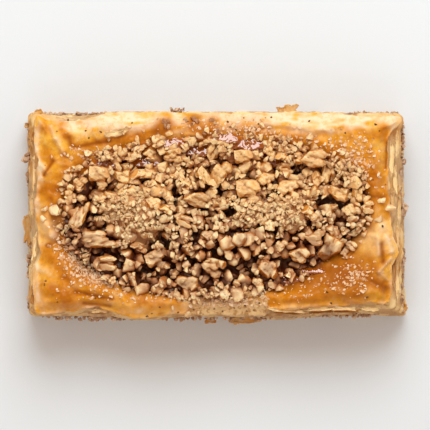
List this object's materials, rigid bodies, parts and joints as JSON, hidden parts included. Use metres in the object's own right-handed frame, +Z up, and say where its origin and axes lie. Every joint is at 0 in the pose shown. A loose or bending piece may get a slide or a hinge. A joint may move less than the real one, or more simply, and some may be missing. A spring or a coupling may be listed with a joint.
{
  "type": "walnut pastry slice",
  "caption": "Rectangular slice of layered flaky pastry with a nut filling and chopped walnuts in syrup in a shallow hollow on top.",
  "frame": {"origin": "centre of the whole outline, at the height of the flat underside", "axes": "+X along the long side of the slice, +Z up through its layers; -Y is the front, the lower side in the picture"},
  "size_m": [0.1106, 0.0634, 0.0305],
  "materials": {
    "base_crust": "dry baked pastry",
    "nut_filling": "rough ground nut",
    "golden_crust": "golden, glazed with syrup",
    "walnut": "cut walnut, moist",
    "syrup": "glossy amber syrup"
  },
  "bodies": {
    "root": {"base_pastry": "base_crust", "walnut_filling": "nut_filling", "top_pastry": "golden_crust", "walnut_topping": "walnut"}
  },
  "joints": []
}
